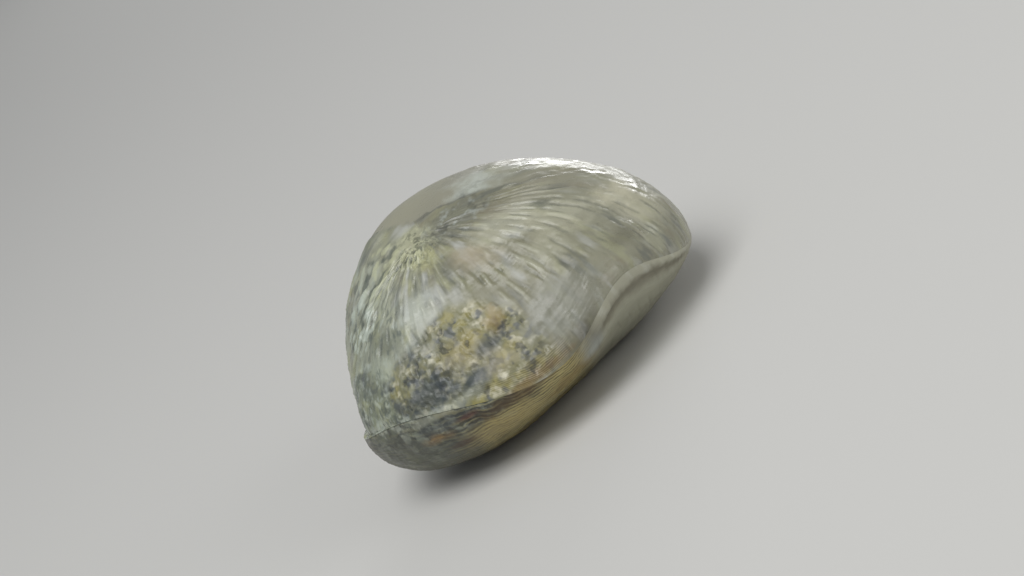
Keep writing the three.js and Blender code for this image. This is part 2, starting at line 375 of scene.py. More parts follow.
def keep_arrow(mesh, label, values):
    data = mesh.attributes.new(label, "FLOAT_VECTOR", "POINT").data
    data.foreach_set("vector", values.astype(np.float32).ravel())


def make_valve(name, surface, rib_line, side):
    rings = valve_rings(surface, rib_line, side)
    points, pushes, kept = map(np.concatenate, (rings.points, rings.pushes, rings.kept))
    mesh = bpy.data.meshes.new(name)
    mesh.from_pydata((points + shift) / 1000, [], valve_faces(rings.numbers, side))
    mesh.shade_smooth()
    mesh.set_sharp_from_angle(angle=np.radians(sharp_from))
    for label, column in (("turn", 2), ("growth", 3), ("along", 4)):
        keep_number(mesh, label, kept[:, column])
    keep_arrow(mesh, "push", pushes)
    keep_arrow(mesh, "place", kept[:, [0, 1, 4]])
    piece = bpy.data.objects.new(name, mesh)
    bpy.context.scene.collection.objects.link(piece)
    mesh.calc_loop_triangles()
    print(name, len(mesh.loop_triangles), "triangles in", len(rings.numbers), "rings")
    return piece


brachial = make_valve("brachial_shell", dome_surface, dome_rib_line, 1)
pedicle = make_valve("pedicle_shell", bowl_surface, bowl_rib_line, -1)

# %% [markdown]
# ## Places that are worn, crumbly, crusted or hollow
# Part of the dome has lost its ribs and is smooth, and part of the front is a mosaic of crumbly
# mineral grains. A crust covers the left of both valves. The right flank is rough and dented, short
# thick strokes lie left of the place where the ribs start, and two plain places hardly have ribs.
# Along the front the two valves meet in a shallow hollow, and a narrow trench runs beside it on the
# lower valve's right wing. Such places could be painted by hand in weight paint. Here each is a few
# named spots in millimetres, kept as point attributes, so that the relief and the colours use the
# same borders.

# %% Places
worn_line = [  # x, y along the front border of the worn top
    (-5.0, 5.8), (-2.7, 2.9), (-1.1, 0.7), (0.1, 0.6), (1.4, 0.2), (2.2, 0.0),
    (4.3, -0.9), (6.6, -3.0), (8.4, -4.0), (10.4, -3.4), (12.0, -3.0),
]
worn_blur = 0.55
worn_left = (-7.2, -3.4)  # x at which the worn top is gone, and whole
worn_behind = (10.6, 6.4)  # height at which the worn top is whole, and gone
spot_edge = (1.2, 0.6)  # share of a spot's reach at which it is gone, and whole
spots = {  # centre, reach
    "crumbly": [
        ((-3.6, -6.9, 8.2), (2.9, 2.0, 1.7)),
        ((-1.2, -8.3, 6.8), (1.7, 2.0, 2.2)),
        ((-6.6, -6.8, 7.4), (2.6, 2.2, 2.0)),
        ((-3.6, -8.9, 5.4), (4.4, 1.6, 1.9)),
        ((-1.2, -9.6, 4.7), (1.8, 1.0, 0.9)),
    ],
    "crust": [
        ((-9.6, -4.0, 6.6), (2.6, 3.4, 3.2)),
        ((-7.6, -6.6, 5.6), (3.4, 3.0, 2.6)),
        ((-4.6, -8.8, 4.9), (3.4, 2.0, 1.3)),
        ((-9.4, -5.0, 3.8), (2.6, 3.0, 1.8)),
    ],
    "rough": [
        ((8.8, -0.8, 8.4), (3.4, 3.8, 4.0)),
        ((6.4, 1.6, 11.0), (3.0, 1.8, 1.6)),
        ((1.0, -1.3, 12.0), (2.0, 1.1, 0.8)),
    ],
    "strokes": [
        ((-4.5, 0.2, 12.0), (2.8, 2.2, 1.4)),
        ((-2.5, -1.1, 12.0), (1.3, 1.5, 0.9)),
        ((-7.4, -0.6, 10.2), (1.8, 2.2, 1.8)),
    ],
    "plain": [
        ((-0.1, -3.8, 10.7), (1.5, 1.0, 0.9)),
        ((3.0, -8.7, 6.3), (2.6, 1.4, 1.9)),
        ((6.6, -7.6, 5.4), (2.0, 1.2, 1.2)),
    ],
}
lower_crumbly_share = 0.5
dents = [  # x, y, radius, depth, which is negative for a swelling
    (8.8, -5.2, 0.8, 0.3),
    (-1.3, -8.1, 0.75, 0.16),
    (-6.7, -7.3, 0.8, 0.16),
    (-10.2, -2.8, 1.3, -0.15),
]
hollow_seam = [  # x and the depth of the hollow along the front seam, negative for a ridge
    (-11.4, -0.02), (-10.6, -0.06), (-4.0, -0.05), (-1.5, 0.0),
    (0.5, 0.08), (2.6, 0.16), (4.6, 0.02), (11.0, 0.02),
]
hollow_behind = 0.05


def point_array(piece):
    points = np.zeros(len(piece.data.vertices) * 3, np.float32)
    piece.data.vertices.foreach_get("co", points)
    return points.reshape(-1, 3).astype(float) * 1000


def worn_share(x, y, z):
    """1 on the worn top. Its left and hind borders are waves, and it is weaker on the right."""
    wave = smoothstep(3.0, 6.0, y) * (np.sin(z * 1.3) + 0.7 * np.sin(z * 2.9 + 1.0))
    border = np.interp(x, *zip(*worn_line))
    share = smoothstep(-worn_blur, worn_blur, y - border) * smoothstep(*worn_left, x + wave)
    wavy_z = z + 0.9 * np.sin(x * 0.9 + 0.6) + 0.5 * np.sin(x * 2.3)
    share = share * (1 - smoothstep(*worn_behind, wavy_z) * smoothstep(3.0, 5.5, y))
    return share * (1 - 0.5 * smoothstep(1.5, 5.0, x))


def dent_depth(x, y):
    return sum(
        depth * np.exp(-(np.hypot(x - at_x, y - at_y) / radius) ** 2)
        for at_x, at_y, radius, depth in dents
    )


# %% Places kept on both valves
for piece, upper_share in ((brachial, 1), (pedicle, 0)):
    points = point_array(piece)
    x, y, z = points.T
    worn = worn_share(x, y, z) * upper_share
    keep_number(piece.data, "worn", worn)
    for label, label_spots in spots.items():
        away = [np.linalg.norm((points - centre) / reach, axis=1) for centre, reach in label_spots]
        inside = np.max([smoothstep(*spot_edge, distance) for distance in away], axis=0)
        if label == "crumbly" and piece == pedicle:
            inside = inside * lower_crumbly_share
        keep_number(piece.data, label, inside)
    keep_number(piece.data, "dent", dent_depth(x, y) * upper_share)
    front = smoothstep(3.0, -2.0, y)
    seam_depth = np.interp(x, *zip(*hollow_seam)) * front + hollow_behind * (1 - front)
    keep_number(piece.data, "seam", seam_depth)
    right_wing = smoothstep(2.0, 4.0, x) * smoothstep(-4.0, -5.5, y) * (1 - upper_share)
    keep_number(piece.data, "wing", right_wing)
    print(piece.name, "worn share", round(float(worn.mean()), 2))

# %% [markdown]
# ## A short way to write node maths
# A tree of Math nodes takes many lines to build. The class below lets a script write a + b and
# get an Add node, so that a formula in a tree reads like a formula. It serves geometry trees and
# shader trees alike, because both use the same Math node.

# %% Node helpers
def feed(tree, socket, value):
    if isinstance(value, Flow):
        value = value.socket
    if isinstance(value, bpy.types.NodeSocket):
        tree.links.new(value, socket)
    elif value is not None:
        socket.default_value = value


def add_node(tree, kind, settings=None, **inputs):
    node = tree.nodes.new(kind)
    for key, value in (settings or {}).items():
        setattr(node, key, value)
    for key, value in inputs.items():
        feed(tree, node.inputs[key.replace("_", " ")], value)
    return node


class Flow:
    """A number that flows through a node tree. Arithmetic on it adds Math nodes."""

    def __init__(self, tree, socket):
        self.tree, self.socket = tree, socket

    def math(self, operation, *others):
        node = add_node(self.tree, "ShaderNodeMath", {"operation": operation})
        for socket, value in zip(node.inputs, (self, *others)):
            feed(self.tree, socket, value)
        return Flow(self.tree, node.outputs[0])

    def __add__(self, other):
        return self.math("ADD", other)

    def __sub__(self, other):
        return self.math("SUBTRACT", other)

    def __mul__(self, other):
        return self.math("MULTIPLY", other)

    def __truediv__(self, other):
        return self.math("DIVIDE", other)

    def __neg__(self):
        return self.math("MULTIPLY", -1.0)

    __radd__ = __add__
    __rmul__ = __mul__

    def __rsub__(self, other):
        return -self + other

    def __rtruediv__(self, other):
        return self.math("POWER", -1.0) * other

    def smooth(self, start, end, low=0.0, high=1.0):
        """From low to high, in an S, as the number goes from start to end."""
        node = add_node(self.tree, "ShaderNodeMapRange", {"interpolation_type": "SMOOTHSTEP"}, Value=self)
        for label, value in {"From Min": start, "From Max": end, "To Min": low, "To Max": high}.items():
            feed(self.tree, node.inputs[label], value)
        return Flow(self.tree, node.outputs["Result"])

    def toward(self, other, share):
        """Itself where share is 0, other where share is 1."""
        return self + (other - self) * share


def vector_math(tree, operation, *values):
    node = add_node(tree, "ShaderNodeVectorMath", {"operation": operation})
    sockets = (node.inputs[0], node.inputs["Scale"]) if operation == "SCALE" else node.inputs
    for socket, value in zip(sockets, values):
        feed(tree, socket, value)
    return node.outputs["Value" if operation == "LENGTH" else "Vector"]


def parts(tree, vector):
    node = add_node(tree, "ShaderNodeSeparateXYZ", Vector=vector)
    return [Flow(tree, socket) for socket in node.outputs]


def joined(tree, x, y, z):
    return add_node(tree, "ShaderNodeCombineXYZ", X=x, Y=y, Z=z).outputs[0]


def noise(tree, vector, scale, detail=2.0, roughness=0.5):
    """A cloudy number round 0.5."""
    settings = {"Scale": scale, "Detail": detail, "Roughness": roughness}
    return Flow(tree, add_node(tree, "ShaderNodeTexNoise", Vector=vector, **settings).outputs[0])


def group_input(tree, kind, name, default=None):
    socket = tree.interface.new_socket(name, in_out="INPUT", socket_type=kind)
    if default is not None:
        socket.default_value = default


# %% [markdown]
# ## A relief tree with Geometry Nodes
# Ribs fan out and split, growth lines cross them, and crumbly places have pits between mineral
# heaps. Each of these repeats by a rule, so one tree makes them all, and both valves use it with
# their own numbers. A displace modifier with an image would need a picture. This tree reads the
# rays and rows that the mesh kept. Its named inputs hold the sizes, and the seed moves every cloud
# of noise at once.

# %% Relief inputs
relief = bpy.data.node_groups.new("ShellRelief", "GeometryNodeTree")
for way in ("INPUT", "OUTPUT"):
    relief.interface.new_socket("Geometry", in_out=way, socket_type="NodeSocketGeometry")
relief_numbers = {  # lengths in mm
    "First ribs": 36.0,
    "Rib height": 0.046,
    "Rib wander": 0.014,
    "First split": 0.36,
    "Second split": 0.86,
    "Growth lines": 46.0,
    "Growth line height": 0.012,
    "Growth step height": 0.03,
    "Growth step run": 0.07,
    "Lump height": 0.2,
    "Pit depth": 0.16,
    "Pits per mm": 1.15,
    "Worn depth": 0.05,
    "Seam reach": 0.05,
    "Trench depth": 0.16,
    "Seed": 3.0,
}
for label, value in relief_numbers.items():
    group_input(relief, "NodeSocketFloat", label, value)
group_input(relief, "NodeSocketMaterial", "Finish")
relief_in = relief.nodes.new("NodeGroupInput")
relief_out = relief.nodes.new("NodeGroupOutput")


def setting(label):
    return Flow(relief, relief_in.outputs[label])


def kept_number(label):
    node = add_node(relief, "GeometryNodeInputNamedAttribute", {"data_type": "FLOAT"}, Name=label)
    return Flow(relief, node.outputs["Attribute"])


def kept_arrow(label):
    node = add_node(relief, "GeometryNodeInputNamedAttribute", {"data_type": "FLOAT_VECTOR"}, Name=label)
    return node.outputs["Attribute"]


seed = setting("Seed")
position = vector_math(relief, "SCALE", add_node(relief, "GeometryNodeInputPosition").outputs[0], 1000.0)
seeded = vector_math(relief, "ADD", position, joined(relief, seed * 13.7, seed * 5.1, seed))


def cloud_here(scale, detail=2.0, roughness=0.5):
    return noise(relief, seeded, scale, detail, roughness)


def unevenness(scale, detail=2.0, roughness=0.5):
    """Clouds that go both ways from 0."""
    return cloud_here(scale, detail, roughness) - 0.5


turn, growth, along = map(kept_number, ("turn", "growth", "along"))
worn, crumbly, crust, rough = map(kept_number, ("worn", "crumbly", "crust", "rough"))
strokes, plain, dent, seam, wing = map(kept_number, ("strokes", "plain", "dent", "seam", "wing"))
near_edge = (1.0 - along).smooth(0.0, 0.05, 0.15, 1.0)
worn_here = (worn + unevenness(0.9, 3.0) * 0.7).smooth(0.25, 0.75)
print("relief inputs", list(relief_numbers))

# %% [markdown]
# ## Ribs, strokes and growth lines
# The ribs are a wave round the shell whose crests split in two, twice, as the real ones do where
# the shell widens. Left of the place where they start they break up into short thick strokes. The
# growth lines are a wave outwards, and three weak steps mark where the shell once paused. Curves
# with a bevel could make ribs, but blending them into the dome is hard, and a wave is part of it
# from the start. Noise makes them strong in some places and faint in others, as on a worn fossil.

# %% Ribs and lines
split_blur = (0.08, 0.09)  # half of the stretch in which the ribs split the first and the second time
fine_rib_share = 0.72
growth_steps = ((0.585, 0.6), (0.8, 1.0), (0.905, 0.8))  # share of the way out, strength

phase = (turn + unevenness(0.35) * setting("Rib wander")) * setting("First ribs") * (2 * np.pi)
split_at = growth + unevenness(0.9, 0.0) * 0.34
first, second = (
    split_at.smooth(setting(label) - blur, setting(label) + blur)
    for label, blur in zip(("First split", "Second split"), split_blur)
)
wide_ribs = phase.math("COSINE")
middle_ribs = -(phase * 2.0).math("COSINE")
fine_ribs = -(phase * 4.0).math("COSINE")
divided = fine_ribs * fine_rib_share + middle_ribs * (1 - fine_rib_share)
profile = wide_ribs.toward(middle_ribs.toward(divided, second), first)

kept_ribs = cloud_here(0.8).smooth(0.36, 0.62, 0.12, 1.0) * (1.0 - crumbly * 0.75)
along_ribs = vector_math(relief, "MULTIPLY", kept_arrow("place"), (17.0, 17.0, 7.0))
uneven = noise(relief, along_ribs, 1.0).smooth(0.36, 0.64, 0.2, 1.3)
uneven = uneven * (1.0 - crust * 0.6) * (1.0 - rough * 0.55) * (1.0 - plain * 0.85)
rib_share = growth.smooth(0.03, 0.2) * (1.0 - worn_here * 0.8) * kept_ribs * uneven * near_edge

stroke_place = vector_math(relief, "MULTIPLY", kept_arrow("place"), (13.0, 13.0, 17.0))
stroke_zone = strokes * (1.0 - worn_here) * growth.smooth(0.04, 0.14)
stroke = (noise(relief, stroke_place, 1.0, 1.0) - 0.5) * stroke_zone

line_shift = unevenness(0.4) * 0.035
lines = ((along + line_shift) * setting("Growth lines") * (2 * np.pi)).math("SINE")


def growth_step(at, strength):
    """A ramp up to the step, and nothing past it."""
    before = ((at - growth) - line_shift) / setting("Growth step run")
    return (1.0 - before).math("MAXIMUM", 0.0) * before.math("GREATER_THAN", 0.0) * strength


inner_step, middle_step, outer_step = (growth_step(*step) for step in growth_steps)
steps = inner_step + middle_step + outer_step
print("ribs at the margin", int(relief_numbers["First ribs"] * 4))

# %% [markdown]
# ## Lumps, pits and hollows
# The stone is lumpy nearly everywhere but on the worn top. Where it crumbles there are pits with
# small heaps between them. A hollow lies along the seam, and the trench on the right wing is cut
# where two smooth slopes overlap. A sculptor would dab these on one by one, while noise at a few
# sizes gives all of them at once and keeps to the borders of each place.

# %% Lumps and hollows
lumps = unevenness(0.32, 1.0) + unevenness(0.95) * (0.75 + crust * 0.5)
lumps = lumps + unevenness(2.4) * (0.2 + crust * 0.2 + rough * 0.3)
lumps = lumps + unevenness(1.4, 3.0, 0.6) * rough * 0.5
pits = cloud_here(setting("Pits per mm"), 2.0, 0.6).smooth(0.53, 0.66)
heaps = unevenness(setting("Pits per mm") * 1.3) * crumbly * 0.3

seam_hollow = (1.0 - along).smooth(0.0, setting("Seam reach"), 1.0, 0.0) * seam
trench_at = growth + unevenness(0.9, 3.0, 0.6) * 0.02
trench = trench_at.smooth(0.938, 0.968) * trench_at.smooth(0.995, 0.972) * wing * setting("Trench depth")
hollow = seam_hollow + trench

# %% [markdown]
# ## Pushing the points
# All heights are added up and move each point along its push. A bump map would be lighter, but its
# ribs vanish at the outline. The tree also stores the rib profile, the worn share, the pits and
# the strokes, so that the colours can follow them.

# %% Push and store
height = profile * rib_share * setting("Rib height")
line_share = (1.0 - worn_here * 0.8) * growth.smooth(0.3, 0.6) * near_edge
height = height + lines * setting("Growth line height") * line_share
height = height + steps * setting("Growth step height") * near_edge + heaps * near_edge + stroke * 0.5
height = height + lumps * setting("Lump height") * (1.0 - worn_here * (0.8 - rough * 0.8)) * near_edge
height = height - pits * crumbly * setting("Pit depth") * near_edge - worn_here * setting("Worn depth")
height = height - dent * (1.0 - along).smooth(0.0, 0.05) - hollow

offset = vector_math(relief, "SCALE", kept_arrow("push"), height / 1000.0)
moved = add_node(relief, "GeometryNodeSetPosition", Geometry=relief_in.outputs["Geometry"], Offset=offset)
geometry = moved.outputs["Geometry"]
point_number = {"data_type": "FLOAT", "domain": "POINT"}
stored = {"rib": profile * rib_share, "worn_here": worn_here, "pit": pits * crumbly, "stroke": stroke}
for label, value in stored.items():
    inputs = {"Geometry": geometry, "Name": label, "Value": value}
    geometry = add_node(relief, "GeometryNodeStoreNamedAttribute", point_number, **inputs).outputs["Geometry"]
real = add_node(relief, "GeometryNodeRealizeInstances", Geometry=geometry).outputs[0]
finish = relief_in.outputs["Finish"]
finished = add_node(relief, "GeometryNodeSetMaterial", Geometry=real, Material=finish).outputs[0]
relief.links.new(finished, relief_out.inputs["Geometry"])
print("relief tree", len(relief.nodes), "nodes")

# %% [markdown]
# ## Shader groups for the stone
# Both valves are the same stone, so the effects that both use are groups with named inputs. The
# nodes could be copied into each material, but then a change would have to be made twice. The
# class makes a group's sockets from a list: an input is a number or a vector, as its default is.

# %% Group tools
class StoneGroup:
    """A shader group whose inputs are read, and whose outputs are given, by name."""

    def __init__(self, name, inputs, outputs):
        self.tree = bpy.data.node_groups.new(name, "ShaderNodeTree")
        for label, default in inputs.items():
            kind = "NodeSocketFloat" if isinstance(default, float) else "NodeSocketVector"
            group_input(self.tree, kind, label, default)
        for label in outputs:
            self.tree.interface.new_socket(label, in_out="OUTPUT", socket_type="NodeSocketFloat")
        self.start = self.tree.nodes.new("NodeGroupInput")
        self.end = self.tree.nodes.new("NodeGroupOutput")

    def arrow(self, label):
        return self.start.outputs[label]

    def number(self, label):
        return Flow(self.tree, self.start.outputs[label])

    def give(self, label, value):
        feed(self.tree, self.end.inputs[label], value)


nowhere = (0.0, 0.0, 0.0)

# %% [markdown]
# ## A ragged patch
# Most stains on the stone are round blots with a frayed border. A mask painted on a picture could
# hold them. Here the distance from a spot, as a share of its reach, is disturbed by noise and then
# cut off softly, so one group serves every stain.

# %% Ragged patch
patch_inputs = {"Position": nowhere, "Centre": nowhere, "Reach": (1.0, 1.0, 1.0), "Ragged": 0.5, "Soft": 0.35}
patches = StoneGroup("RaggedPatch", patch_inputs, ["Mask"])
spot_offset = vector_math(patches.tree, "SUBTRACT", patches.arrow("Position"), patches.arrow("Centre"))
spot_offset = vector_math(patches.tree, "DIVIDE", spot_offset, patches.arrow("Reach"))
spot_distance = Flow(patches.tree, vector_math(patches.tree, "LENGTH", spot_offset))
frayed = noise(patches.tree, patches.arrow("Position"), 1.1, 4.0, 0.6) - 0.5
frayed = frayed * patches.number("Ragged") * 2.0
softness = patches.number("Soft")
patches.give("Mask", (spot_distance + frayed).smooth(1.0 + softness, 1.0 - softness))

# %% [markdown]
# ## Streaks along the ribs
# The stone's colours run in streaks that follow the ribs. A stretched texture on Object
# coordinates would run straight across them. Noise on the kept place, which is the way round as a
# circle and the way outwards, bends with the rays. Near the rib line the rays are close together,
# so there the group blends to a noise with half as many streaks.

# %% Streaks
streaks = StoneGroup("RibStreaks", {"Place": nowhere, "Round": 14.0, "Outward": 9.0, "Seed": 0.0}, ["Streak"])
round_x, round_y, outward = parts(streaks.tree, streaks.arrow("Place"))


def streak_noise(crowding):
    x = round_x * streaks.number("Round") * crowding + streaks.number("Seed") * 7.3
    y = round_y * streaks.number("Round") * crowding
    z = outward * streaks.number("Outward") + streaks.number("Seed")
    return noise(streaks.tree, joined(streaks.tree, x, y, z), 1.0)


streaks.give("Streak", streak_noise(0.5).toward(streak_noise(1.0), outward.smooth(0.4, 0.8)))

# %% [markdown]
# ## Lines of growth
# Fine lines run round the shell beside the margin. A wave texture would draw them as even rings.
# The group gives two kinds that bend and break: Line is noise squeezed across the rays, and Thread
# is a regular wave, thinned out where that noise is low.

# %% Growth lines
line_inputs = {"Place": nowhere, "Position": nowhere, "Lines": 60.0, "Wander": 1.5, "Breaks": 5.0}
growth_rings = StoneGroup("GrowthLines", line_inputs, ["Line", "Thread"])
ring_x, ring_y, ring_out = parts(growth_rings.tree, growth_rings.arrow("Place"))
breaks = growth_rings.number("Breaks")
bend = noise(growth_rings.tree, growth_rings.arrow("Position"), 0.5, 3.0) - 0.5
ring_number = ring_out * growth_rings.number("Lines") + bend * growth_rings.number("Wander")
ring_vector = joined(growth_rings.tree, ring_x * breaks, ring_y * breaks, ring_number)
ring_noise = noise(growth_rings.tree, ring_vector, 1.0, 2.0, 0.55)
growth_rings.give("Line", ring_noise)
ring_wave = (ring_number * (2 * np.pi) + ring_noise * 5.0).math("SINE") * 0.5 + 0.5
growth_rings.give("Thread", 0.5 + (ring_wave - 0.5) * ring_noise.smooth(0.35, 0.6, 0.25, 1.0))

# %% [markdown]
# ## Mineral grains
# Crumbly stone is a mixture of light, dark and warm grains. A Voronoi texture has grains with
# straight edges, which suits gravel more than this soft mineral. The group gives four noises that
# are far apart in the same texture, so that the grains of one kind don't follow another's.

# %% Grains
grain_kinds = {"Light": (0.0, 1.0), "Dark": (31.0, 0.85), "Warm": (57.0, 0.6)}  # how far off, how fine
mineral = StoneGroup("MineralGrains", {"Position": nowhere, "Size": 0.5}, [*grain_kinds, "Cloud"])
grain_scale = 1.0 / mineral.number("Size").math("MAXIMUM", 0.01)
for label, (far, fineness) in grain_kinds.items():
    far_place = vector_math(mineral.tree, "ADD", mineral.arrow("Position"), (far, far * 0.4, -far))
    mineral.give(label, noise(mineral.tree, far_place, grain_scale * fineness, 2.0, 0.6))
mineral.give("Cloud", noise(mineral.tree, mineral.arrow("Position"), 0.8, 5.0, 0.6))
print("shader groups", [group.name for group in bpy.data.node_groups if group.type == "SHADER"])

# %% [markdown]
# ## Tools for a material
# A material here is a stack of colours, each laid over the last where a mask says so, as a painter
# glazes one tint over another. One big colour ramp could do it as well, but a stack keeps each
# stain under its own name. Tints are written as the eye reads them, from 0 to 255, and turned into
# the linear values that the shader wants.

# %% Material tools
def tint(red, green, blue):
    values = np.array([red, green, blue]) / 255
    linear = np.where(values > 0.04045, ((values + 0.055) / 1.055) ** 2.4, values / 12.92)
    return (*map(float, linear), 1.0)


def lay(tree, under, over, mask):
    """The colour under, with over laid on it where the mask is 1. Either may be a tint."""
    node = add_node(tree, "ShaderNodeMix", {"data_type": "RGBA", "clamp_factor": True})
    for index, value in ((0, mask), (6, under), (7, over)):
        feed(tree, node.inputs[index], tint(*value) if isinstance(value, tuple) else value)
    return node.outputs[2]


def glazed(tree, colour, *glazes):
    """A colour with tints laid over it in turn, each where its mask is 1."""
    for over, mask in glazes:
        colour = lay(tree, colour, over, mask)
    return colour


class Stone:
    """A stone finish for a piece that has the shell's attributes, with its position in mm."""

    def __init__(self, name, ground):
        self.material = bpy.data.materials.new(name)
        self.material.use_nodes = True
        self.tree = self.material.node_tree
        self.colour = ground
        coordinates = self.tree.nodes.new("ShaderNodeTexCoord").outputs["Object"]
        self.position = vector_math(self.tree, "SCALE", coordinates, 1000.0)
        self.place = self.attribute("place").outputs["Vector"]
        self.x, self.y, self.z = parts(self.tree, self.position)

    def attribute(self, label):
        settings = {"attribute_type": "GEOMETRY", "attribute_name": label}
        return add_node(self.tree, "ShaderNodeAttribute", settings)

    def values(self, *labels):
        return [Flow(self.tree, self.attribute(label).outputs["Fac"]) for label in labels]

    def use(self, group, **inputs):
        node = add_node(self.tree, "ShaderNodeGroup", {"node_tree": group.tree}, **inputs)
        return {socket.name: Flow(self.tree, socket) for socket in node.outputs}

    def noise(self, scale, detail, roughness=0.5):
        return noise(self.tree, self.position, scale, detail, roughness)

    def streak(self, count, outward, seed):
        return self.use(streaks, Place=self.place, Round=count, Outward=outward, Seed=seed)["Streak"]

    def grains(self, size):
        return self.use(mineral, Position=self.position, Size=size)

    def rings(self, lines, wander, breaks):
        numbers = {"Lines": lines, "Wander": wander, "Breaks": breaks}
        return self.use(growth_rings, Place=self.place, Position=self.position, **numbers)

    def patch(self, centre, reach, ragged, soft):
        where = {"Position": self.position, "Centre": centre, "Reach": reach}
        return self.use(patches, Ragged=ragged, Soft=soft, **where)["Mask"]

    def glaze(self, over, mask):
        self.colour = lay(self.tree, self.colour, over, mask)

    def stain(self, stains):
        for over, strength, centre, reach, ragged, soft in stains:
            self.glaze(over, self.patch(centre, reach, ragged, soft) * strength)

    def crust(self, grains, mask):
        """Green, grey and whitish blotches, which cross the line between the valves on the left."""
        beside_line = self.values("growth")[0].smooth(0.965, 0.985) * grains["Light"].smooth(0.42, 0.54)
        blotches = glazed(
            self.tree, (124, 131, 112),
            ((150, 153, 118), grains["Warm"].smooth(0.5, 0.64) * 0.8),
            ((80, 89, 86), grains["Cloud"].smooth(0.52, 0.4) * 0.9),
            ((190, 198, 182), grains["Light"].smooth(0.52, 0.66) * 0.8),
            ((62, 68, 66), grains["Dark"].smooth(0.53, 0.66) * 0.7),
            ((186, 192, 178), beside_line * 0.75),
        )
        self.glaze(blotches, mask)

    def finish(self, bump_height, bump_depth, roughness, coat, coat_roughness):
        """Feeds the shader. The thin coat is the polish of a handled fossil."""
        shader = self.tree.nodes["Principled BSDF"].inputs
        bump = add_node(self.tree, "ShaderNodeBump", Strength=0.6, Distance=bump_depth, Height=bump_height)
        feed(self.tree, shader["Normal"], bump.outputs[0])
        feed(self.tree, shader["Base Color"], self.colour)
        feed(self.tree, shader["Roughness"], roughness)
        shader["Coat Weight"].default_value = coat
        shader["Coat Roughness"].default_value = coat_roughness
        print(self.material.name, len(self.tree.nodes), "nodes")


# %% [markdown]
# ## The upper valve's stone
# The dome is greenish grey: paler and yellower on the left, cooler on the right. Cream, whitish,
# dark and brown streaks follow the ribs. One noise for all four would make them share their places,
# so each has its own seed.

# %% Ground and streaks of the dome
upper = Stone("brachial_stone", (132, 130, 108))
rib, worn_seen, crumble, crusty, pit = upper.values("rib", "worn_here", "crumbly", "crust", "pit")
growth, seam, stroke = upper.values("growth", "seam", "stroke")
grains, rings = upper.grains(0.7), upper.rings(46.0, 2.0, 6.0)
cloud = upper.noise(0.35, 3.0)
drift = (cloud - 0.5) * 6.0
left = (upper.x + drift).smooth(0.5, -6.5)
right = (upper.x + drift).smooth(2.0, 8.0)
whole = 1.0 - crumble * 0.75

upper.glaze((164, 168, 148), left)
upper.glaze((144, 143, 124), right)
upper.glaze((126, 124, 104), cloud.smooth(0.52, 0.34) * 0.5)
cream, whitish = upper.streak(10.0, 6.0, 1.0), upper.streak(13.0, 5.0, 2.0)
dark, brown = upper.streak(15.0, 6.0, 3.0), upper.streak(9.0, 5.0, 4.0)
upper.glaze((170, 171, 132), cream.smooth(0.5, 0.66) * (0.35 + left * 0.45) * whole)
upper.glaze((188, 190, 186), whitish.smooth(0.53, 0.7) * (0.62 - right * 0.36) * whole)
upper.glaze((98, 102, 96), dark.smooth(0.47, 0.3) * 0.62 * whole)
upper.glaze((126, 118, 98), brown.smooth(0.54, 0.7) * 0.5 * whole)

# %% [markdown]
# ## Stains on the dome
# A pinkish tan wedge lies in the middle of the front with cream ribs on its right, and the left
# flank has yellow-green, whitish and dark places. Each is a ragged patch at its place in
# millimetres, which a hand could also dab on in texture paint. As patches they stay sharp at any
# size, and each can be moved by its numbers.

